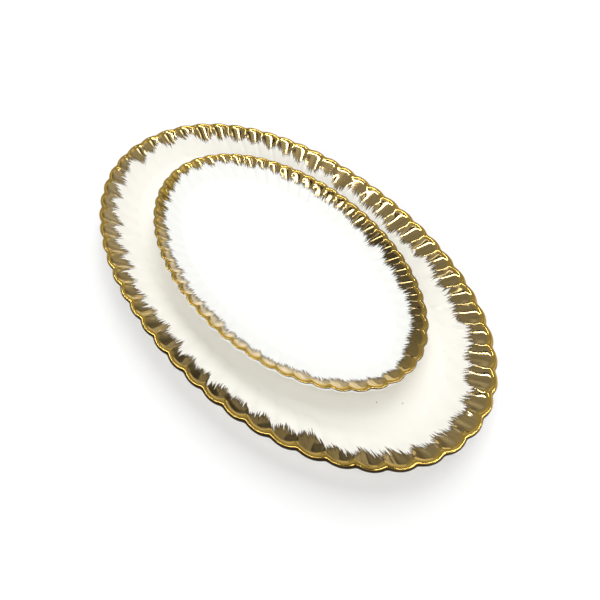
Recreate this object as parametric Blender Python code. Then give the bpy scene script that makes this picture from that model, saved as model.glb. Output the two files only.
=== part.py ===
"""Nested pair of oval china serving platters with fluted, scalloped rims.

Each platter is one fired piece: a flat oval well, a sloping wall pressed into
scoops that end in a scalloped, rounded lip, and a low oval foot ring. The small
platter stands loose in the well of the large one and lifts straight off.
"""
import math

import bmesh
import bpy
import numpy as np

MM = 0.001

# Driving dimensions, in millimetres.
LARGE_LENGTH = 357.0      # over the oval that the lobes of the rim touch, about 14 in
LARGE_HEIGHT = 21.5
LARGE_DEPTH = 15.0        # from the lip down to the well
LARGE_WALL = 29.6         # from the lip in to the well, in plan
LARGE_BODY = 4.3          # thickness of the china
LARGE_POWER = 2.1         # of the oval: 2 is an ellipse, and more is squarer

SMALL_LENGTH = 254.0      # 10 in
SMALL_HEIGHT = 17.3
SMALL_DEPTH = 11.3
SMALL_WALL = 21.2
SMALL_BODY = 4.0
SMALL_POWER = 2.0

WIDTH_RATIO = 0.595       # oval width over oval length, the same for both platters
REST_GAP = 0.3            # clearance under the small platter's foot
SMALL_SHIFT = (3.0, 1.5)  # where the small platter stands in the large well
SMALL_TURN = -0.5         # degrees, about +Z

FLUTES = 54               # scoops round each rim, with a ridge on each end of the long axis
STEPS_PER_FLUTE = 4       # facets across one scoop
RIDGE_ROUND = 0.16        # share of a half scoop that rounds off the ridge
BOW = 0.25                # how much steeper the wall is at the lip than on average

# Shares of the wall, from the lip (0) to the edge of the well (1).
INNER_SHARES = (1.0, 0.72, 0.40, 0.14, 0.0)
OUTER_SHARES = (0.30, 0.65, 1.0)


class Platter:
    """Sizes of one platter in millimetres, from its driving dimensions."""

    def __init__(self, length, height, depth, wall, body, power):
        scale = length / LARGE_LENGTH
        self.half_length = length / 2.0
        self.half_width = length / 2.0 * WIDTH_RATIO
        self.height = height
        self.depth = depth
        self.wall = wall
        self.body = body
        self.power = power
        self.floor = height - depth
        self.lip = 3.3 * math.sqrt(scale)
        self.ridge_height = 2.6 * scale
        self.scoop_inside = 2.8 * scale
        self.scoop_outside = 1.5 * scale
        self.well_scallop = 2.0 * scale
        self.foot_width = 3.5 * scale
        self.foot_draft = 1.2 * scale


def even_oval(half_length, half_width, power, count, samples=7200):
    """Points spaced evenly along an oval, the first one on +X."""
    angles = np.linspace(0.0, 2.0 * math.pi, samples + 1)
    cosines = np.cos(angles)
    sines = np.sin(angles)
    size = (np.abs(cosines) ** power + np.abs(sines) ** power) ** (-1.0 / power)
    x = half_length * cosines * size
    y = half_width * sines * size
    travelled = np.concatenate(([0.0], np.cumsum(np.hypot(np.diff(x), np.diff(y)))))
    stops = np.arange(count) / count * travelled[-1]
    return np.stack((np.interp(stops, travelled, x), np.interp(stops, travelled, y)), axis=1)


def ridge_profile(across):
    """Height of a scoop's surface: 0 in its middle, 1 on the rounded ridge."""
    flank = 1.0 - RIDGE_ROUND
    if across <= flank:
        return across * across / flank
    past = across - flank
    return (flank * flank + 2.0 * flank * past - flank / RIDGE_ROUND * past * past) / flank


def wall_point(platter, share):
    """Inward distance, height and slope angle along the bottom of a scoop."""
    start = 1.05 * platter.lip
    drop = 0.35 * platter.lip
    run = platter.wall - start
    fall = platter.depth - drop
    inward = start + run * share
    height = platter.height - drop - fall * (share * (1.0 + BOW) - BOW * share * share)
    slope = math.atan(fall / run * (1.0 + BOW - 2.0 * BOW * share))
    return inward, height, slope


def ridge_share(share):
    """Ridges keep their full height over most of the wall and run out at the well."""
    return 1.0 - share ** 4


def profile(platter):
    """Rings from the well up over the lip and down to the foot.

    Each ring is (inward distance, height, inward shift, upward shift), where the
    shifts are how far the ring moves on a ridge.
    """
    rings = []
    for share in INNER_SHARES:
        inward, height, slope = wall_point(platter, share)
        rise = platter.ridge_height * ridge_share(share)
        rings.append((inward, height, rise * math.sin(slope), rise * math.cos(slope)))
    rings[0] = (platter.wall, platter.floor, -platter.well_scallop, 0.0)
    rings[-1] = (rings[-1][0], rings[-1][1], platter.scoop_inside, 0.0)
    lip = platter.lip
    lip_scoop = (platter.scoop_inside + platter.scoop_outside) / 2.0
    rings.append((0.5 * lip, platter.height, lip_scoop, 0.0))
    rings.append((0.0, platter.height - 0.5 * lip, platter.scoop_outside, 0.0))
    rings.append((0.35 * lip, platter.height - 1.2 * lip, platter.scoop_outside, 0.0))
    for share in OUTER_SHARES:
        inward, height, slope = wall_point(platter, share)
        rise = platter.scoop_outside * ridge_share(share)
        rings.append((
            inward - platter.body * math.sin(slope),
            height - platter.body * math.cos(slope),
            rise * math.sin(slope),
            rise * math.cos(slope),
        ))
    underside = platter.floor - platter.body
    rings[-1] = (platter.wall, underside, 0.0, 0.0)
    foot_outer = platter.wall + platter.foot_draft
    foot_inner = foot_outer + platter.foot_width
    rings.append((foot_outer, 0.0, 0.0, 0.0))
    rings.append((foot_inner, 0.0, 0.0, 0.0))
    rings.append((foot_inner + platter.foot_draft, underside, 0.0, 0.0))
    return rings


def platter_mesh(name, platter):
    """One closed mesh: rings of points from lip to well, capped above and below."""
    count = FLUTES * STEPS_PER_FLUTE
    wall = platter.wall
    lip_oval = even_oval(platter.half_length, platter.half_width, platter.power, count)
    well_oval = even_oval(platter.half_length - wall, platter.half_width - wall, platter.power, count)
    shape = bmesh.new()
    loops = []
    for inward, height, shift_in, shift_up in profile(platter):
        loop = []
        for step in range(count):
            across = abs(1.0 - 2.0 * (step % STEPS_PER_FLUTE) / STEPS_PER_FLUTE)
            ridge = ridge_profile(across)
            share = (inward + shift_in * ridge) / wall
            x, y = lip_oval[step] + (well_oval[step] - lip_oval[step]) * share
            loop.append(shape.verts.new((x * MM, y * MM, (height + shift_up * ridge) * MM)))
        loops.append(loop)
    for first, second in zip(loops, loops[1:]):
        for step in range(count):
            after = (step + 1) % count
            shape.faces.new((first[step], first[after], second[after], second[step]))
    shape.faces.new(list(reversed(loops[0])))
    shape.faces.new(loops[-1])
    bmesh.ops.recalc_face_normals(shape, faces=shape.faces)
    bmesh.ops.triangulate(shape, faces=[face for face in shape.faces if len(face.verts) == 4])
    mesh = bpy.data.meshes.new(name)
    shape.to_mesh(mesh)
    shape.free()
    mesh.shade_smooth()
    mesh.set_sharp_from_angle(angle=math.radians(40.0))
    return mesh


def china_material(name, color, roughness):
    """Glossy white china; the gold film on the rim is a finish, not a piece."""
    material = bpy.data.materials.new(name)
    material.use_nodes = True
    shader = material.node_tree.nodes["Principled BSDF"]
    shader.inputs["Base Color"].default_value = (*color, 1.0)
    shader.inputs["Roughness"].default_value = roughness
    shader.inputs["Metallic"].default_value = 0.0
    return material


def add_platter(name, platter, material):
    """Platter object with its own origin in the middle of its foot's plane."""
    mesh = platter_mesh(name, platter)
    mesh.materials.append(material)
    piece = bpy.data.objects.new(name, mesh)
    bpy.context.scene.collection.objects.link(piece)
    return piece


def main():
    for old in list(bpy.data.objects):
        bpy.data.objects.remove(old, do_unlink=True)

    large = Platter(LARGE_LENGTH, LARGE_HEIGHT, LARGE_DEPTH, LARGE_WALL, LARGE_BODY, LARGE_POWER)
    small = Platter(SMALL_LENGTH, SMALL_HEIGHT, SMALL_DEPTH, SMALL_WALL, SMALL_BODY, SMALL_POWER)
    add_platter("large_platter", large, china_material("large_china", (0.93, 0.92, 0.88), 0.10))

    lift = bpy.data.objects.new("small_platter_lift", None)
    lift.location = (SMALL_SHIFT[0] * MM, SMALL_SHIFT[1] * MM, (large.floor + REST_GAP) * MM)
    bpy.context.scene.collection.objects.link(lift)
    upper = add_platter("small_platter", small, china_material("small_china", (0.95, 0.94, 0.91), 0.10))
    upper.parent = lift
    upper.rotation_euler = (0.0, 0.0, math.radians(SMALL_TURN))


main()
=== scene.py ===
"""Looks of the nested pair of china platters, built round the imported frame.

Each platter is a fine closed mesh that stands for its faceted solid. Its sizes repeat
part.py's, in millimetres. The gold is a film on the china, so it lives in the material.
"""
import math

import bpy
import numpy as np
from mathutils import Matrix, Vector


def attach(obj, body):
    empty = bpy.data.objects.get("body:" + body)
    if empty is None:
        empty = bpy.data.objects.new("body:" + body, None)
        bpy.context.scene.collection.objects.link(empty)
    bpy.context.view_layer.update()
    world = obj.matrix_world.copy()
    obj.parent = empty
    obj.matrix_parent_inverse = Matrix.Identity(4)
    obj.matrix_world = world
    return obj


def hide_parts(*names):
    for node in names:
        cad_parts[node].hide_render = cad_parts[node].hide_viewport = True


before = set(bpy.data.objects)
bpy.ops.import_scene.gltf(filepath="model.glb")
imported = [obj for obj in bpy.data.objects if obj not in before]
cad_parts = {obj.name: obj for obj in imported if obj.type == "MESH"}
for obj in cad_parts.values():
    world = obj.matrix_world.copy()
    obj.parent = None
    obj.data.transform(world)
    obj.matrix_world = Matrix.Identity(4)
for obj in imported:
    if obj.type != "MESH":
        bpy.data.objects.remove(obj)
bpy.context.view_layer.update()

MM = 0.001

# Sizes of the platters, as in part.py, in millimetres.
LARGE = {"length": 357.0, "height": 21.5, "depth": 15.0, "wall": 29.6, "body": 4.3, "power": 2.1}
SMALL = {"length": 254.0, "height": 17.3, "depth": 11.3, "wall": 21.2, "body": 4.0, "power": 2.0}
REFERENCE_LENGTH = 357.0
WIDTH_RATIO = 0.595
REST_GAP = 0.3
SMALL_SHIFT = (3.0, 1.5)
SMALL_TURN = -0.5         # degrees, about +Z
FLUTES = 54
RIDGE_ROUND = 0.16
BOW = 0.25
LIP_SHARE = 0.35          # of the wall, where the ridges sink into the lip

STEPS_PER_FLUTE = 18
OUTLINE_INSET = 0.2       # keeps the smooth lobes inside the box of the faceted ones

# Rings of the profile: past the wall in the well, in millimetres, then as shares of the
# wall, and as angles round the lip, in degrees from its top.
WELL_STEPS = (7.0, 3.6, 1.8, 0.8)
INNER_SHARES = np.concatenate((np.linspace(1.0, 0.22, 24), np.linspace(0.20, 0.0, 16)))
LIP_ANGLES = np.linspace(38.0, -150.0, 20)
OUTER_SHARES = np.linspace(0.16, 1.0, 18)
SMOOTHINGS = 3            # of the profile, apart from its lip and foot
CAP_SHARES = (0.80, 0.55, 0.30, 0.12)   # of the rings that close the well and the underside
FOOT_RIM = (2, 6)         # first and last row of the foot that the glaze leaves bare

# Gold, in millimetres from the lip inwards along the wall, and from its outer edge down.
LARGE_GOLD = {"reach": 15.6, "spread": 1.6, "notch": 7.0, "outside": 2.4, "seed": 4}
SMALL_GOLD = {"reach": 10.8, "spread": 1.1, "notch": 4.2, "outside": -0.9, "seed": 11}

# Stretches of the rim with painted shade, where the gold is darkened to stand in for its dim
# reflections; with painted sheen, paler and less mirroring gold that stands in for bright
# reflections; where the film ends higher below the lip and its painted black outer edge
# reaches higher; or where it is deeper in colour. Each is its middle and half width in
# flutes, and by how much.
LARGE_TONES = {
    # The darker stretches are painted shade, which stands in for dim reflections.
    "painted_shade": ((46.2, 8.2, 0.74), (6.0, 7.0, 0.28), (15.0, 6.0, 0.12), (23.5, 4.0, 0.14)),
    # Paler stretches are painted sheen, which stands in for bright reflections.
    "pale": ((32.5, 5.0, 0.22),),
    "raised": ((46.0, 11.0, 0.9),),
    "deep": (),
}
SMALL_TONES = {
    # The darker stretches are painted shade, which stands in for dim reflections.
    "painted_shade": ((6.5, 8.5, 0.64), (11.5, 4.5, 0.28), (20.5, 5.5, 0.12)),
    # Paler stretches are painted sheen, which stands in for bright reflections.
    "pale": ((43.0, 12.0, 1.0),),
    "raised": ((42.0, 12.0, 0.3),),
    "deep": ((30.0, 5.5, 0.85), (1.0, 4.5, 0.35)),
}

# A clump of strokes: where its gap and its tip lie in the flute, how its tip varies, the
# shares that vary its gap's depth, and the power that blunts it.
CLUMP = {"gap": 0.08, "tip": 0.62, "tip_spread": 0.1, "depths": (0.6, 1.15), "blunt": 0.5}

# Where the clumps differ: the middle in degrees round the rim, how sharply they change
# there, and what is added to the clump's values, or to the length and depth as shares.
LEANING = {"at": 45.0, "sharp": 2, "gap": -0.12, "tip": -0.34, "length": 0.18, "depth": -0.3}
LEFT_END = {"at": 180.0, "sharp": 2, "depth": 0.3, "blunt": 0.2}
FAR_SIDE = {"at": 120.0, "sharp": 2, "depth": -0.45}
NEAR_RIGHT = {"at": 334.0, "sharp": 8, "depth": 0.95}

NO_FILM = -50.0           # millimetres, for vertices away from the rim

# Camera, aimed at a point in the plane of the large rim.
CAMERA_TARGET = (45.3, -13.6, 21.5)
CAMERA_AZIMUTH = 320.3    # degrees, from +X towards +Y, of where the camera stands
CAMERA_ELEVATION = 54.8
CAMERA_DISTANCE = 307.2
CAMERA_ROLL = 0.8
CAMERA_LENS = 27.5        # on a sensor 36 mm wide

# The room: its own brightness, its darkest, what the camera sees of it, and its patches as
# azimuth, elevation, the angle that each is full to, the angle where it ends, and how much
# it adds.
ROOM_BASE = 0.31
ROOM_DARKEST = 0.02
BACKDROP = 0.93
ROOM_PATCHES = (
    (-80.0, 70.0, 12.0, 24.0, 0.14),
    (75.0, 32.0, 8.0, 22.0, 0.35),
    (138.0, 34.0, 10.0, 22.0, 0.26),
    (-112.0, 58.0, 7.0, 8.0, 2.4),
    (-112.0, 58.0, 5.0, 6.0, -2.5),
    (-60.0, 68.0, 3.0, 4.5, 1.6),
    (60.0, 68.0, 3.0, 4.5, 2.4),
    (112.0, 1.0, 5.0, 9.0, 0.6),
    (40.0, 82.0, 5.0, 9.0, -0.22),
    (118.0, 12.0, 8.0, 20.0, -0.14),
)

# Lights as name, azimuth, elevation, distance and size in metres, and power in watts.
WHITE_LIGHTS = (
    ("key", 125.0, 55.0, 3.0, (2.8, 2.8), 63.0),
    ("fill", 298.0, 52.0, 3.0, (3.0, 3.0), 31.0),
    ("fill_low", 305.0, 20.0, 3.0, (3.0, 1.6), 20.0),
)
GOLD_LIGHTS = (
    ("panel_right", 30.0, 43.0, 1.5, (0.9, 0.08), 1.6),
)

# The hoops and the card that the gold mirrors, and the floor, in degrees and metres.
HOOP_MIDDLE = (126.0, 52.0)         # azimuth and elevation
HOOP_ENDS = (-75.0, 75.0)           # round the middle, from its top
HOOP_STEPS = 48
HOOP_DISTANCE = 1.5
GLOWING_HOOP = (51.6, 2.5, 15.0)    # radius, width and strength
BLACK_HOOP = (56.2, 5.0, 0.0)
FLAG_HALF_SIZE = (0.085, 0.045)
FLAG_BEHIND = 0.012                 # the camera
FLOOR_RADIUS = 2.2
FLOOR_SIDES = 96

# Bounds of the film's stretches, in millimetres inwards from the top of the lip.
OUTSIDE = (-0.3, -0.7)    # past them the film's outer edge counts, and not its inner one
EDGE_SHADE_SHOWS = (0.0, -0.3)  # past them its painted shade shows: a black outer edge
BEAD_END = (1.8, 3.4)
LIP_GOLD = (3.6, 1.6)
BRUSHED = (2.0, 6.0)
PAINTED_SHADE_ON_BEAD = 0.25       # share of the painted shade that the bead keeps
BRUSHED_ON_BEAD = 0.15    # and of the brush marks

# Bounds in millimetres from the film's own edges, and how far fine hairs move those.
INNER_EDGE = (-0.45, 0.45)
OUTER_EDGE = (-0.15, 0.15)
INNER_THIN = (0.2, 3.8)
OUTER_THIN = (0.2, 1.6)
INNER_HAIRS = (-0.7, 1.9)
OUTER_HAIRS = (-0.25, 0.25)

# Grain of the film's noises, in a millimetre: round the rim twice, and then inwards.
WANDER_GRAIN = (0.09, 0.09, 0.05)
HAIR_GRAIN = (3.4, 3.4, 0.22)
MOTTLE_GRAIN = (0.5, 0.5, 0.12)
BRISTLE_GRAIN = (1.3, 1.3, 0.08)
NOISE_RANGE = (0.3, 0.7)  # nearly all of a noise's values lie in it
WANDER = 0.5              # of the strokes round the rim, in flutes
SLANT = 0.012             # of the strokes, in flutes to a millimetre inwards

# How metallic the film stays where it is thin, in its painted sheen, and at its painted black
# outer edge.
THIN_METAL = 0.45
PAINTED_SHEEN_METAL = 0.45
PAINTED_EDGE_SHADE_METAL = 0.35

# The surface: roughness of the glaze from its smoothest, of the gold from its thinnest, and
# of bare clay, and bumps as their strength and their height in metres.
GLAZE_ROUGHNESS = (0.05, 0.12)
GOLD_ROUGHNESS = (0.32, 0.07)
CLAY_ROUGHNESS = 0.75
GLAZE_SPECULAR = 0.25
SMUDGE_GRAIN = 90.0       # in a metre
WAVE_GRAIN = 55.0         # in a metre
WAVE_BUMP = (0.08, 0.0006)
BRISTLE_BUMP = (0.03, 0.0002)

# Sets of strokes: how many in a flute, the longest in millimetres, and how they taper.
LARGE_STROKES = ((8.0, 1.6, 9.5), (14.0, 1.3, 7.5))
SMALL_STROKES = ((7.0, 1.2, 7.0), (12.0, 0.9, 5.5))

# Bounds where the film's painted black outer edge ends, in millimetres up from it: painted
# shade that stands in for the dim surroundings that the lip's underside mirrors.
LARGE_EDGE_SHADE_LINE = (3.2, 3.7)
SMALL_EDGE_SHADE_LINE = (-0.2, 0.2)

# Pinholes in the large well's glaze, in millimetres, and their bounds in metres.
PINHOLES = ((126.4, -18.6, 6.5), (136.9, -6.6, 6.5), (129.1, 41.5, 6.5))
PINHOLE_RADII = (0.0002, 0.0007)

# Colours.
PINHOLE_GREY = (0.45, 0.42, 0.36, 1.0)
GLAZE_LARGE = (0.93, 0.905, 0.835, 1.0)
GLAZE_SMALL = (0.96, 0.965, 0.93, 1.0)
CLAY = (0.80, 0.76, 0.68, 1.0)
GOLD_OLIVE = (0.70, 0.515, 0.20, 1.0)
GOLD_WARM = (0.82, 0.605, 0.28, 1.0)
GOLD_LIP = (0.84, 0.56, 0.135, 1.0)
GOLD_DEEP = (0.80, 0.52, 0.09, 1.0)
# Painted shade: near-black gold that stands in for dim reflections round parts of the rim.
GOLD_PAINTED_SHADE = (0.030, 0.018, 0.006, 1.0)
# Painted sheen: pale, less mirroring gold that stands in for bright reflections.
GOLD_PAINTED_SHEEN = (0.96, 0.80, 0.53, 1.0)
# Painted shade: near-black outer edge of the film, for what the lip's underside mirrors.
GOLD_PAINTED_EDGE_SHADE = (0.035, 0.021, 0.007, 1.0)
GOLD_TIP = (0.055, 0.040, 0.024, 1.0)


class Platter:
    """Sizes of one platter in millimetres, from its driving dimensions."""

    def __init__(self, sizes):
        scale = sizes["length"] / REFERENCE_LENGTH
        self.scale = scale
        self.half_length = sizes["length"] / 2.0 - OUTLINE_INSET
        self.half_width = sizes["length"] / 2.0 * WIDTH_RATIO - OUTLINE_INSET
        self.height = sizes["height"]
        self.depth = sizes["depth"]
        self.wall = sizes["wall"] - OUTLINE_INSET
        self.body = sizes["body"]
        self.power = sizes["power"]
        self.floor = self.height - self.depth
        self.lip = 3.3 * math.sqrt(scale)
        self.ridge_height = 2.6 * scale
        self.scoop_inside = 2.8 * scale
        self.scoop_outside = 1.5 * scale
        self.well_scallop = 2.0 * scale
        self.foot_width = 3.5 * scale
        self.foot_draft = 1.2 * scale


def even_oval(half_length, half_width, power, count, samples=21600):
    """Points spaced evenly along an oval, the first one on +X, and its length."""
    angles = np.linspace(0.0, 2.0 * math.pi, samples + 1)
    cosines = np.cos(angles)
    sines = np.sin(angles)
    size = (np.abs(cosines) ** power + np.abs(sines) ** power) ** (-1.0 / power)
    x = half_length * cosines * size
    y = half_width * sines * size
    travelled = np.concatenate(([0.0], np.cumsum(np.hypot(np.diff(x), np.diff(y)))))
    stops = np.arange(count) / count * travelled[-1]
    points = np.stack((np.interp(stops, travelled, x), np.interp(stops, travelled, y)), axis=1)
    return points, travelled[-1]


def ridge_profile(across):
    """Height of a scoop's surface: 0 in its middle, 1 on the rounded ridge."""
    flank = 1.0 - RIDGE_ROUND
    past = across - flank
    rounded = (flank * flank + 2.0 * flank * past - flank / RIDGE_ROUND * past * past) / flank
    return np.where(across <= flank, across * across / flank, rounded)


def wall_point(platter, share):
    """Inward distance, height and slope angle along the bottom of a scoop."""
    start = 1.05 * platter.lip
    drop = 0.35 * platter.lip
    run = platter.wall - start
    fall = platter.depth - drop
    inward = start + run * share
    height = platter.height - drop - fall * (share * (1.0 + BOW) - BOW * share * share)
    slope = math.atan(fall / run * (1.0 + BOW - 2.0 * BOW * share))
    return inward, height, slope


def ridge_share(share):
    """Ridges sink slowly down the wall and run out at the well."""
    return 1.0 - share ** 1.2


def smoothed(rows, times, keep):
    """Rows of numbers evened out along the profile, apart from the rows in keep."""
    rows = np.array(rows, float)
    for _ in range(times):
        middle = (rows[:-2] + 2.0 * rows[1:-1] + rows[2:]) / 4.0
        moved = rows.copy()
        moved[1:-1] = middle
        moved[keep] = rows[keep]
        rows = moved
    return rows


def inner_rows(platter):
    """Profile from the well's edge up the wall to the lip, as part.py's rings."""
    rows = []
    for share in INNER_SHARES:
        inward, height, slope = wall_point(platter, share)
        rise = platter.ridge_height * ridge_share(share)
        off_lip = min(share / LIP_SHARE, 1.0)
        off_lip = off_lip * off_lip * (3.0 - 2.0 * off_lip)
        shift_in = rise * math.sin(slope) * off_lip + platter.scoop_inside * (1.0 - off_lip)
        shift_in -= platter.well_scallop * share ** 3
        rows.append([inward, height, shift_in, rise * math.cos(slope) * off_lip])
    return rows


def lip_rows(platter):
    """Rounded lip, from its inner side over the top to its underside."""
    rows = []
    radius = platter.lip / 2.0
    for angle in np.radians(LIP_ANGLES):
        across = (math.sin(angle) + 1.0) / 2.0
        shift = platter.scoop_outside + (platter.scoop_inside - platter.scoop_outside) * across
        inward = radius + radius * math.sin(angle)
        height = platter.height - radius + radius * math.cos(angle)
        rows.append([inward, height, shift, 0.0])
    return rows


def outer_rows(platter):
    """Outer wall, from below the lip down to the foot's root."""
    rows = []
    for share in OUTER_SHARES:
        inward, height, slope = wall_point(platter, share)
        rise = platter.scoop_outside * ridge_share(share)
        rows.append([
            inward - platter.body * math.sin(slope),
            height - platter.body * math.cos(slope),
            rise * math.sin(slope),
            rise * math.cos(slope),
        ])
    rows[-1] = [platter.wall, platter.floor - platter.body, 0.0, 0.0]
    return rows


def foot_rows(platter):
    """Low foot ring with worn, slightly rounded edges, then the recessed underside."""
    underside = platter.floor - platter.body
    outer = platter.wall + platter.foot_draft
    inner = outer + platter.foot_width
    edge = 0.35 * platter.scale
    return [
        [outer - 0.35 * platter.foot_draft, 0.35 * underside, 0.0, 0.0],
        [outer - 0.1 * edge, edge, 0.0, 0.0],
        [outer + 0.3 * edge, 0.3 * edge, 0.0, 0.0],
        [outer + edge, 0.0, 0.0, 0.0],
        [(outer + inner) / 2.0, 0.0, 0.0, 0.0],
        [inner - edge, 0.0, 0.0, 0.0],
        [inner - 0.3 * edge, 0.3 * edge, 0.0, 0.0],
        [inner + 0.1 * edge, edge, 0.0, 0.0],
        [inner + 0.6 * platter.foot_draft, 0.7 * underside, 0.0, 0.0],
        [inner + 1.3 * platter.foot_draft, 0.97 * underside, 0.0, 0.0],
        [inner + 2.2 * platter.foot_draft, underside, 0.0, 0.0],
    ]


def well_rows(platter):
    """Flat of the well next to the wall, which rounds softly into it."""
    rows = []
    for past in WELL_STEPS:
        inward = platter.wall + past * platter.scale
        rows.append([inward, platter.floor, -0.9 * platter.well_scallop, 0.0])
    return rows


class Profile:
    """All rings of a platter from the well over the lip to the underside."""

    def __init__(self, platter):
        well = well_rows(platter)
        inner = inner_rows(platter)
        lip = lip_rows(platter)
        outer = outer_rows(platter)
        foot = foot_rows(platter)
        rows = well + inner + lip + outer + foot
        self.lip_start = len(well) + len(inner)
        self.lip_end = self.lip_start + len(lip)
        self.foot_start = self.lip_end + len(outer)
        lip_range = np.arange(self.lip_start + 1, self.lip_end - 1)
        foot_range = np.arange(self.foot_start - 1, len(rows))
        keep = np.concatenate((np.arange(0, 3), lip_range, foot_range))
        self.rows = smoothed(rows, SMOOTHINGS, keep)
        steps = np.hypot(np.diff(self.rows[:, 0]), np.diff(self.rows[:, 1]))
        self.travel = np.concatenate(([0.0], np.cumsum(steps)))
        self.top = self.lip_start + int(np.argmax(self.rows[self.lip_start:self.lip_end, 1]))
        self.edge = self.lip_start + int(np.argmin(self.rows[self.lip_start:self.lip_end, 0]))


def lobe(turn, place):
    """Smooth bump round the rim: 1 at its place, and 0 opposite."""
    return ((1.0 + np.cos(turn - math.radians(place["at"]))) / 2.0) ** place["sharp"]


def gold_reach(gold, count):
    """How far the gold runs inwards at each step round the rim, in millimetres.

    It ends in one clump of strokes in each scoop, with a gap by the ridge. The brush
    leant the other way at the right of the far side, so the clumps lean too.
    """
    rng = np.random.default_rng(gold["seed"])
    flute = np.arange(count) / STEPS_PER_FLUTE
    turn = 2.0 * math.pi * flute / FLUTES
    flute_turn = turn[::STEPS_PER_FLUTE]
    leaning = lobe(turn, LEANING)

    flute = (flute - (CLUMP["gap"] + LEANING["gap"] * leaning)) % FLUTES
    whole = flute.astype(int) % FLUTES
    part = flute - np.floor(flute)
    length = gold["reach"] * (1.0 + LEANING["length"] * lobe(flute_turn, LEANING))
    length = length + gold["spread"] * rng.normal(0.0, 1.0, FLUTES).clip(-1.8, 1.8)
    tip = CLUMP["tip"] + LEANING["tip"] * leaning
    tip = tip + rng.uniform(-CLUMP["tip_spread"], CLUMP["tip_spread"], FLUTES)[whole]
    depth = gold["notch"] * rng.uniform(*CLUMP["depths"], FLUTES)
    for places in ((LEFT_END, LEANING, FAR_SIDE), (NEAR_RIGHT,)):
        depth = depth * (1.0 + sum(place["depth"] * lobe(flute_turn, place) for place in places))

    rise = np.where(part < tip, part / tip, (1.0 - part) / (1.0 - tip))
    notch = np.where(part < tip, depth[whole], np.roll(depth, -1)[whole])
    blunt = CLUMP["blunt"] + LEFT_END["blunt"] * lobe(turn, LEFT_END)
    reach = length[whole] - notch * (1.0 - np.clip(rise, 0.0, 1.0) ** blunt)
    ring = np.concatenate((reach[-1:], reach, reach[:1]))
    return (ring[:-2] + 2.0 * ring[1:-1] + ring[2:]) / 4.0


def round_rim(count, lobes):
    """Sum of flat-topped lobes round the rim, one value for each step."""
    flute = np.arange(count) / STEPS_PER_FLUTE
    total = np.zeros(count)
    for middle, half_width, value in lobes:
        away = np.abs((flute - middle + FLUTES / 2.0) % FLUTES - FLUTES / 2.0) / half_width
        total += value * (1.0 - np.clip(away, 0.0, 1.0) ** 3) ** 2
    return total


def ring_points(platter, profile, count):
    """Points of all the rings, one ring after another, and the rim's length."""
    wall = platter.wall
    power = platter.power
    lip_oval, around = even_oval(platter.half_length, platter.half_width, power, count)
    well_oval, _ = even_oval(platter.half_length - wall, platter.half_width - wall, power, count)
    across = np.abs(1.0 - 2.0 * (np.arange(count) % STEPS_PER_FLUTE) / STEPS_PER_FLUTE)
    ridge = ridge_profile(across)
    rings = []
    for inward, height, shift_in, shift_up in profile.rows:
        share = ((inward + shift_in * ridge) / wall)[:, None]
        flat = lip_oval + (well_oval - lip_oval) * share
        rings.append(np.column_stack((flat, height + shift_up * ridge)))
    return np.concatenate(rings) * MM, around


def band_faces(ring_count, count):
    """Quads between each ring and the next."""
    faces = []
    for first in range(0, (ring_count - 1) * count, count):
        second = first + count
        for step in range(count):
            after = (step + 1) % count
            faces.append((first + step, first + after, second + after, second + step))
    return faces


def close_ring(points, start, count, upward):
    """Points with a ring's cap added, and its faces: rings that shrink to one point."""
    rim = points[start:start + count]
    added = [points]
    faces = []
    first = len(points)
    for share in CAP_SHARES:
        added.append(rim * (share, share, 1.0))
        for step in range(count):
            after = (step + 1) % count
            faces.append((start + after, start + step, first + step, first + after))
        start = first
        first += count
    added.append(np.array([[0.0, 0.0, rim[0][2]]]))
    for step in range(count):
        faces.append((start + (step + 1) % count, start + step, first))
    if not upward:
        faces = [tuple(reversed(face)) for face in faces]
    return np.concatenate(added), faces


def platter_mesh(name, platter, gold, tones, place):
    """Closed fine mesh in the row frame, with the attributes that its material reads."""
    count = FLUTES * STEPS_PER_FLUTE
    profile = Profile(platter)
    ring_count = len(profile.rows)
    points, around = ring_points(platter, profile, count)
    faces = band_faces(ring_count, count)
    for ring, upward in ((0, True), (ring_count - 1, False)):
        points, cap = close_ring(points, ring * count, count, upward)
        faces += cap
    mesh = bpy.data.meshes.new(name)
    mesh.from_pydata(points.tolist(), [], faces)
    mesh.validate()
    write_flutes(mesh, count)
    write_film(mesh, profile, gold, tones, around / (2.0 * math.pi), count)
    mesh.transform(place)
    mesh.shade_smooth()
    return mesh


def write_flutes(mesh, count):
    """Position round the rim in flutes, kept for each corner so that it closes cleanly."""
    corners = np.zeros(len(mesh.loops), np.int64)
    mesh.loops.foreach_get("vertex_index", corners)
    sides = np.zeros(len(mesh.polygons), np.int64)
    mesh.polygons.foreach_get("loop_total", sides)
    owner = np.repeat(np.arange(len(sides)), sides)
    step = corners % count
    highest = np.zeros(len(sides), np.int64)
    np.maximum.at(highest, owner, step)
    lowest = np.full(len(sides), count)
    np.minimum.at(lowest, owner, step)
    last = (highest == count - 1) & (lowest == 0)
    step = np.where(last[owner] & (step == 0), count, step)
    flutes = np.zeros((len(corners), 2), np.float32)
    flutes[:, 0] = step / STEPS_PER_FLUTE
    layer = mesh.uv_layers.new(name="flutes")
    layer.data.foreach_set("uv", flutes.ravel())


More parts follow.
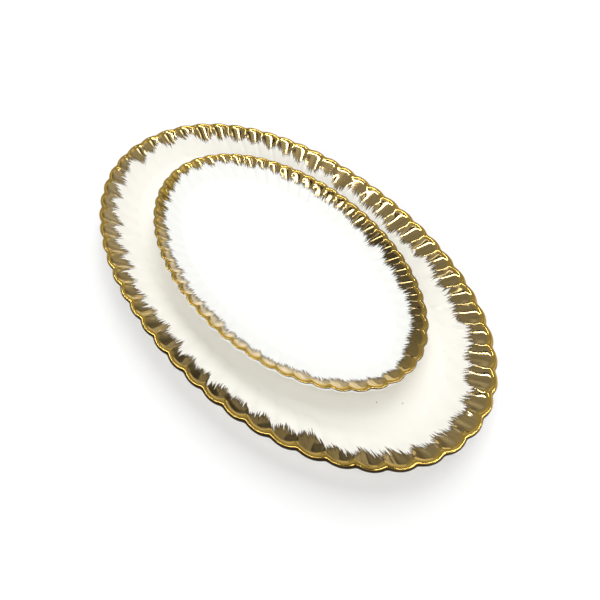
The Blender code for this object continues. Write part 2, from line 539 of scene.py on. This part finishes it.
def write_film(mesh, profile, gold, tones, radius, count):
    """Where each vertex lies in the film: along it, inside its edges, and in its tones.

    Distances are in millimetres, measured along the profile from the top of the lip.
    """
    ring_count = len(profile.rows)
    inward = np.repeat(profile.travel[profile.top] - profile.travel, count)
    outward = np.repeat(profile.travel - profile.travel[profile.edge], count)
    angles = np.tile(2.0 * math.pi * np.arange(count) / count, ring_count)
    stroke = np.stack((radius * np.cos(angles), radius * np.sin(angles), inward), axis=1)
    reach = np.tile(gold_reach(gold, count), ring_count)
    # Lifts where the film ends below the lip, and with it the painted shade of its black outer
    # edge.
    raised = np.tile(round_rim(count, tones["raised"]), ring_count)
    ring = np.repeat(np.arange(ring_count), count)
    foot_row = ring - profile.foot_start
    write_attribute(mesh, "stroke", stroke)
    write_attribute(mesh, "film", reach - inward, NO_FILM)
    write_attribute(mesh, "below", gold["outside"] - outward - raised, NO_FILM)
    write_attribute(mesh, "bare", (foot_row >= FOOT_RIM[0]) & (foot_row <= FOOT_RIM[1]))
    # Tones round the rim: painted shade, painted sheen, and a deeper colour of the film.
    for tone in ("painted_shade", "pale", "deep"):
        write_attribute(mesh, tone, np.tile(round_rim(count, tones[tone]), ring_count))


def write_attribute(mesh, name, values, beyond=0.0):
    """Numbers or vectors for the rings' vertices, and one number for the caps' vertices."""
    whole = np.full((len(mesh.vertices),) + values.shape[1:], beyond, np.float32)
    whole[:len(values)] = values
    is_vector = values.ndim == 2
    kind = "FLOAT_VECTOR" if is_vector else "FLOAT"
    attribute = mesh.attributes.new(name, kind, "POINT")
    attribute.data.foreach_set("vector" if is_vector else "value", whole.ravel())


class Nodes:
    """Short names for the shader nodes of a material or of the world."""

    def __init__(self, owner):
        owner.use_nodes = True
        self.owner = owner
        self.tree = owner.node_tree
        self.shader = self.tree.nodes.get("Principled BSDF")

    def set(self, name, value):
        """Number or colour that is the same all over, on the shader's own socket."""
        self.shader.inputs[name].default_value = value

    def link(self, source, target):
        self.tree.links.new(source, target)

    def put(self, value, target):
        if isinstance(value, bpy.types.NodeSocket):
            self.link(value, target)
        else:
            target.default_value = value

    def attribute(self, name, output):
        node = self.tree.nodes.new("ShaderNodeAttribute")
        node.attribute_name = name
        return node.outputs[output]

    def place(self):
        return self.tree.nodes.new("ShaderNodeTexCoord").outputs["Object"]

    def math(self, operation, first, second):
        node = self.tree.nodes.new("ShaderNodeMath")
        node.operation = operation
        self.put(first, node.inputs[0])
        self.put(second, node.inputs[1])
        return node.outputs[0]

    def vector_math(self, operation, first, second, output):
        node = self.tree.nodes.new("ShaderNodeVectorMath")
        node.operation = operation
        self.link(first, node.inputs[0])
        node.inputs[1].default_value = second
        return node.outputs[output]

    def stretch(self, vector, factors):
        return self.vector_math("MULTIPLY", vector, factors, "Vector")

    def noise(self, vector, scale, detail=2.0, roughness=0.5):
        node = self.tree.nodes.new("ShaderNodeTexNoise")
        self.link(vector, node.inputs["Vector"])
        node.inputs["Scale"].default_value = scale
        node.inputs["Detail"].default_value = detail
        node.inputs["Roughness"].default_value = roughness
        return node.outputs["Fac"]

    def part(self, vector, index):
        node = self.tree.nodes.new("ShaderNodeSeparateXYZ")
        self.link(vector, node.inputs[0])
        return node.outputs[index]

    def cells(self, value, scale):
        """Distance to the nearest of points scattered along a line, and a number for each."""
        node = self.tree.nodes.new("ShaderNodeTexVoronoi")
        node.voronoi_dimensions = "1D"
        self.link(value, node.inputs["W"])
        node.inputs["Scale"].default_value = scale
        return node.outputs["Distance"], self.part(node.outputs["Color"], 0)

    def ramp(self, value, low, high, start=0.0, end=1.0, smooth=True):
        node = self.tree.nodes.new("ShaderNodeMapRange")
        node.interpolation_type = "SMOOTHSTEP" if smooth else "LINEAR"
        self.link(value, node.inputs["Value"])
        node.inputs["From Min"].default_value = low
        node.inputs["From Max"].default_value = high
        node.inputs["To Min"].default_value = start
        node.inputs["To Max"].default_value = end
        return node.outputs["Result"]

    def between(self, share, start, end):
        """Number that runs evenly from start to end as a share goes from 0 to 1."""
        return self.ramp(share, 0.0, 1.0, start, end, smooth=False)

    def blend(self, share, first, second):
        node = self.tree.nodes.new("ShaderNodeMix")
        node.data_type = "RGBA"
        self.put(share, node.inputs[0])
        self.put(first, node.inputs[6])
        self.put(second, node.inputs[7])
        return node.outputs[2]

    def blend_value(self, share, first, second):
        node = self.tree.nodes.new("ShaderNodeMix")
        self.put(share, node.inputs[0])
        self.put(first, node.inputs[2])
        self.put(second, node.inputs[3])
        return node.outputs[0]

    def bump(self, height, strength, distance, normal=None):
        node = self.tree.nodes.new("ShaderNodeBump")
        node.inputs["Strength"].default_value = strength
        node.inputs["Distance"].default_value = distance
        self.link(height, node.inputs["Height"])
        if normal is not None:
            self.link(normal, node.inputs["Normal"])
        return node.outputs["Normal"]


def stroke_ends(nodes, stroke, inward, strokes):
    """How far the strokes run past a clump's edge, from sets of ever finer strokes.

    A set is strokes in a flute, the longest in millimetres, and how much they taper.
    """
    along = nodes.part(nodes.attribute("flutes", "Vector"), 0)
    wander = nodes.noise(nodes.stretch(stroke, WANDER_GRAIN), 1.0, 1.0)
    slanted = nodes.math("ADD", along, nodes.math("MULTIPLY", wander, WANDER))
    slanted = nodes.math("ADD", slanted, nodes.math("MULTIPLY", inward, SLANT))
    ends = None
    for density, longest, taper in strokes:
        apart, chance = nodes.cells(slanted, density)
        length = nodes.between(chance, -longest, longest)
        end = nodes.math("SUBTRACT", length, nodes.math("MULTIPLY", apart, taper))
        ends = end if ends is None else nodes.math("MAXIMUM", ends, end)
    return ends


def film_cover(nodes, stroke, inward, strokes):
    """How much the film covers the glaze, and how thick it is: both from 0 to 1."""
    ends = stroke_ends(nodes, stroke, inward, strokes)
    hairs = nodes.noise(nodes.stretch(stroke, HAIR_GRAIN), 1.0, 1.0)
    worn = nodes.math("ADD", nodes.attribute("film", "Fac"), ends)
    worn = nodes.math("ADD", worn, nodes.ramp(hairs, *NOISE_RANGE, *INNER_HAIRS, smooth=False))
    below = nodes.attribute("below", "Fac")
    ragged = nodes.ramp(hairs, *NOISE_RANGE, *OUTER_HAIRS, smooth=False)
    ragged = nodes.math("ADD", below, ragged)
    outside = nodes.ramp(inward, *OUTSIDE)
    inner_cover = nodes.ramp(worn, *INNER_EDGE)
    cover = nodes.blend_value(outside, inner_cover, nodes.ramp(ragged, *OUTER_EDGE))
    inner_thick = nodes.ramp(worn, *INNER_THIN)
    thick = nodes.blend_value(outside, inner_thick, nodes.ramp(below, *OUTER_THIN))
    return cover, thick


def film_color(nodes, stroke, inward, thick, pale, clear_of_edge_shade):
    """Gold that varies round the rim and darkens where it is thin, with painted shade and painted
    sheen in stretches round the rim, and painted shade at its black outer edge.
    """
    mottle = nodes.noise(nodes.stretch(stroke, MOTTLE_GRAIN), 1.0, 2.0)
    wall_gold = nodes.blend(nodes.ramp(mottle, *NOISE_RANGE), GOLD_OLIVE, GOLD_WARM)
    wall_gold = nodes.blend(nodes.attribute("deep", "Fac"), wall_gold, GOLD_DEEP)
    gold = nodes.blend(nodes.ramp(inward, *LIP_GOLD), wall_gold, GOLD_LIP)
    # Painted shade: the gold is darkened in stretches round the rim, less on the bead.
    off_bead = nodes.ramp(inward, *BEAD_END, PAINTED_SHADE_ON_BEAD, 1.0)
    painted_shade = nodes.math("MULTIPLY", nodes.attribute("painted_shade", "Fac"), off_bead)
    gold = nodes.blend(painted_shade, gold, GOLD_PAINTED_SHADE)
    # Painted sheen: pale gold in stretches round the rim, off the bead.
    gold = nodes.blend(pale, gold, GOLD_PAINTED_SHEEN)
    gold = nodes.blend(thick, GOLD_TIP, gold)
    # Painted shade: the film turns near black at its outer edge.
    return nodes.blend(clear_of_edge_shade, GOLD_PAINTED_EDGE_SHADE, gold)


def film_metal(nodes, cover, thick, pale, clear_of_edge_shade):
    """How much the film mirrors: less where thin, in painted sheen and at its painted black edge.
    """
    metal = nodes.math("MULTIPLY", cover, nodes.between(thick, THIN_METAL, 1.0))
    metal = nodes.math("MULTIPLY", metal, nodes.between(pale, 1.0, PAINTED_SHEEN_METAL))
    return nodes.math("MULTIPLY", metal, nodes.between(clear_of_edge_shade, PAINTED_EDGE_SHADE_METAL, 1.0))


def china_roughness(nodes, place, cover, thick, bare):
    """Smooth glaze with faint smudges, gold that is rougher where thin, and rough bare clay."""
    smudge = nodes.noise(place, SMUDGE_GRAIN, 3.0)
    glaze_rough = nodes.ramp(smudge, *NOISE_RANGE, *GLAZE_ROUGHNESS, smooth=False)
    gold_rough = nodes.between(thick, *GOLD_ROUGHNESS)
    glaze_rough = nodes.math("MULTIPLY", glaze_rough, nodes.math("SUBTRACT", 1.0, cover))
    rough = nodes.math("ADD", glaze_rough, nodes.math("MULTIPLY", gold_rough, cover))
    return nodes.math("MAXIMUM", rough, nodes.math("MULTIPLY", bare, CLAY_ROUGHNESS))


def china_bumps(nodes, place, stroke, inward, cover):
    """Slow waves of the fired surface, and fine brush marks in the film off the bead."""
    normal = nodes.bump(nodes.noise(place, WAVE_GRAIN, 2.0), *WAVE_BUMP)
    bristle = nodes.noise(nodes.stretch(stroke, BRISTLE_GRAIN), 1.0, 3.0, 0.6)
    brushed = nodes.math("MULTIPLY", cover, nodes.ramp(inward, *BRUSHED, BRUSHED_ON_BEAD, 1.0))
    return nodes.bump(nodes.math("MULTIPLY", bristle, brushed), *BRISTLE_BUMP, normal)


def china_material(name, glaze, strokes, edge_shade_line, specks=()):
    """White glaze with a brushed film of bright gold at the rim.

    Outside the lip the film is near black up to its edge shade line, in millimetres from its
    edge: painted shade.
    """
    nodes = Nodes(bpy.data.materials.new(name))
    place = nodes.place()
    stroke = nodes.attribute("stroke", "Vector")
    inward = nodes.part(stroke, 2)
    bare = nodes.attribute("bare", "Fac")
    cover, thick = film_cover(nodes, stroke, inward, strokes)
    # Painted sheen off the bead, which stands in for bright reflections.
    pale = nodes.math("MULTIPLY", nodes.attribute("pale", "Fac"), nodes.ramp(inward, *BEAD_END))
    # Mask that keeps the gold clear of the painted shade on its outer edge.
    above_shade_line = nodes.ramp(nodes.attribute("below", "Fac"), *edge_shade_line)
    clear_of_edge_shade = nodes.blend_value(nodes.ramp(inward, *EDGE_SHADE_SHOWS), 1.0, above_shade_line)

    gold = film_color(nodes, stroke, inward, thick, pale, clear_of_edge_shade)
    color = nodes.blend(bare, nodes.blend(cover, glaze, gold), CLAY)
    for spot in specks:
        color = speck(nodes, place, color, spot)
    nodes.link(color, nodes.shader.inputs["Base Color"])
    nodes.link(film_metal(nodes, cover, thick, pale, clear_of_edge_shade), nodes.shader.inputs["Metallic"])
    rough = china_roughness(nodes, place, cover, thick, bare)
    nodes.link(rough, nodes.shader.inputs["Roughness"])
    normal = china_bumps(nodes, place, stroke, inward, cover)
    nodes.link(normal, nodes.shader.inputs["Normal"])
    nodes.set("Specular IOR Level", GLAZE_SPECULAR)
    return nodes.owner


def speck(nodes, place, color, spot):
    """Pinhole in the glaze at a point, which shows as a small grey dot."""
    middle = [value * MM for value in spot]
    away = nodes.vector_math("DISTANCE", place, middle, "Value")
    return nodes.blend(nodes.ramp(away, *PINHOLE_RADII), PINHOLE_GREY, color)


def add_platter(name, sizes, gold, tones, place, material, body, node):
    """Platter as one piece, which rides on its body and stands for its CAD node."""
    piece = bpy.data.objects.new(name, platter_mesh(name, Platter(sizes), gold, tones, place))
    bpy.context.scene.collection.objects.link(piece)
    piece.data.materials.append(material)
    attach(piece, body)
    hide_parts(node)


def small_place():
    """Where the small platter stands, from the large well's height."""
    lift = LARGE["height"] - LARGE["depth"] + REST_GAP
    shift = Vector((SMALL_SHIFT[0], SMALL_SHIFT[1], lift)) * MM
    return Matrix.Translation(shift) @ Matrix.Rotation(math.radians(SMALL_TURN), 4, "Z")


def direction(azimuth, elevation):
    """Unit vector that points at an azimuth, from +X towards +Y, and an elevation."""
    turn = math.radians(azimuth)
    rise = math.radians(elevation)
    flat = math.cos(rise)
    return Vector((flat * math.cos(turn), flat * math.sin(turn), math.sin(rise)))


def add_camera():
    """Camera of the scene, at its own place."""
    data = bpy.data.cameras.new("camera")
    data.lens = CAMERA_LENS
    data.sensor_width = 36.0
    data.clip_start = 0.01
    data.clip_end = 50.0
    camera = bpy.data.objects.new("camera", data)
    bpy.context.scene.collection.objects.link(camera)
    camera.matrix_world = camera_place()
    bpy.context.scene.camera = camera


def add_softbox(name, azimuth, elevation, distance, size, power, mirrored):
    """Soft light that faces the origin: only the gold mirrors it, or it lights the whites."""
    data = bpy.data.lights.new(name, "AREA")
    data.shape = "RECTANGLE"
    data.size, data.size_y = size
    data.energy = power
    light = bpy.data.objects.new(name, data)
    bpy.context.scene.collection.objects.link(light)
    towards = direction(azimuth, elevation)
    light.location = towards * distance
    light.rotation_mode = "QUATERNION"
    light.rotation_quaternion = towards.to_track_quat("Z", "Y")
    light.visible_glossy = mirrored
    light.visible_diffuse = not mirrored
    light.visible_camera = False


def camera_place():
    """Where the camera stands, turned to look at its target."""
    back = direction(CAMERA_AZIMUTH, CAMERA_ELEVATION)
    right = (-back).cross(Vector((0.0, 0.0, 1.0))).normalized()
    up = right.cross(-back)
    roll = math.radians(CAMERA_ROLL)
    right_rolled = right * math.cos(roll) + up * math.sin(roll)
    up_rolled = up * math.cos(roll) - right * math.sin(roll)
    turn = Matrix((right_rolled, up_rolled, back)).transposed()
    spot = (Vector(CAMERA_TARGET) + back * CAMERA_DISTANCE) * MM
    return Matrix.Translation(spot) @ turn.to_4x4()


def stage_object(name, points, faces):
    """Object of the scene around the platters, and the nodes of its own material."""
    mesh = bpy.data.meshes.new(name)
    mesh.from_pydata(points, [], faces)
    piece = bpy.data.objects.new(name, mesh)
    bpy.context.scene.collection.objects.link(piece)
    nodes = Nodes(bpy.data.materials.new(name + "_surface"))
    mesh.materials.append(nodes.owner)
    return piece, nodes


def only_mirrored(piece):
    """Leaves a piece for the gold to mirror: it shades nothing and isn't seen."""
    piece.visible_camera = False
    piece.visible_diffuse = False
    piece.visible_shadow = False


def add_flag():
    """Black card behind the camera, there only for the gold to mirror."""
    wide, high = FLAG_HALF_SIZE
    corners = [(-wide, -high, 0), (wide, -high, 0), (wide, high, 0), (-wide, high, 0)]
    flag, nodes = stage_object("flag", corners, [(0, 1, 2, 3)])
    flag.matrix_world = camera_place() @ Matrix.Translation((0.0, 0.0, FLAG_BEHIND))
    nodes.set("Base Color", (0.01, 0.01, 0.01, 1.0))
    nodes.set("Roughness", 0.9)
    only_mirrored(flag)


def add_arc(radius, width, strength):
    """Thin part of a hoop high over the platters, which the gold mirrors as fine lines.

    Its radius and width are angles in degrees round the hoop's middle.
    """
    middle = direction(*HOOP_MIDDLE)
    side = middle.cross(Vector((0.0, 0.0, 1.0))).normalized()
    up = side.cross(middle)
    points = []
    faces = []
    for index, turn in enumerate(np.radians(np.linspace(*HOOP_ENDS, HOOP_STEPS + 1))):
        around = side * math.sin(turn) + up * math.cos(turn)
        for angle in (radius - width / 2.0, radius + width / 2.0):
            angle = math.radians(angle)
            towards = middle * math.cos(angle) + around * math.sin(angle)
            points.append(towards * HOOP_DISTANCE)
        if index:
            first = 2 * index - 2
            faces.append((first, first + 1, first + 3, first + 2))
    arc, nodes = stage_object("arc", points, faces)
    nodes.set("Base Color", (0.0, 0.0, 0.0, 1.0))
    nodes.set("Emission Color", (1.0, 1.0, 1.0, 1.0))
    nodes.set("Emission Strength", strength)
    only_mirrored(arc)


def add_floor():
    """Round pale floor, no wider than the lights reach, so that it stays pale to its edge."""
    turns = np.linspace(0.0, 2.0 * math.pi, FLOOR_SIDES + 1)[:-1]
    edge = [(FLOOR_RADIUS * math.cos(turn), FLOOR_RADIUS * math.sin(turn), 0.0) for turn in turns]
    floor, nodes = stage_object("floor", edge, [tuple(range(len(edge)))])
    nodes.set("Base Color", (0.96, 0.96, 0.96, 1.0))
    nodes.set("Roughness", 0.9)
    nodes.set("Specular IOR Level", 0.1)


def add_surroundings():
    """Dim room with a few brighter patches for the gold to mirror, pale to the camera."""
    world = bpy.data.worlds.new("studio")
    bpy.context.scene.world = world
    nodes = Nodes(world)
    aim = nodes.tree.nodes.new("ShaderNodeTexCoord").outputs["Generated"]
    light = ROOM_BASE
    for azimuth, elevation, inner, outer, value in ROOM_PATCHES:
        facing = nodes.vector_math("DOT_PRODUCT", aim, direction(azimuth, elevation), "Value")
        low = math.cos(math.radians(outer))
        high = math.cos(math.radians(inner))
        light = nodes.math("ADD", nodes.ramp(facing, low, high, 0.0, value), light)
    light = nodes.math("MAXIMUM", light, ROOM_DARKEST)
    seen = nodes.tree.nodes.new("ShaderNodeLightPath").outputs["Is Camera Ray"]
    backdrop = nodes.tree.nodes["Background"]
    nodes.link(nodes.blend_value(seen, light, BACKDROP), backdrop.inputs["Color"])
    backdrop.inputs["Strength"].default_value = 1.0


large_china = china_material(
    "large_china_glaze", GLAZE_LARGE, LARGE_STROKES, LARGE_EDGE_SHADE_LINE, PINHOLES)
small_china = china_material(
    "small_china_glaze", GLAZE_SMALL, SMALL_STROKES, SMALL_EDGE_SHADE_LINE)
add_platter(
    "large_platter_china", LARGE, LARGE_GOLD, LARGE_TONES, Matrix(), large_china,
    "large", "large_platter")
add_platter(
    "small_platter_china", SMALL, SMALL_GOLD, SMALL_TONES, small_place(), small_china,
    "small", "small_platter")

add_floor()
add_surroundings()
add_camera()
for light in WHITE_LIGHTS:
    add_softbox(*light, mirrored=False)
for light in GOLD_LIGHTS:
    add_softbox(*light, mirrored=True)
add_arc(*GLOWING_HOOP)
add_arc(*BLACK_HOOP)
add_flag()
scene = bpy.context.scene
scene.view_settings.view_transform = "Standard"
scene.view_settings.look = "None"
scene.view_settings.exposure = 0.0
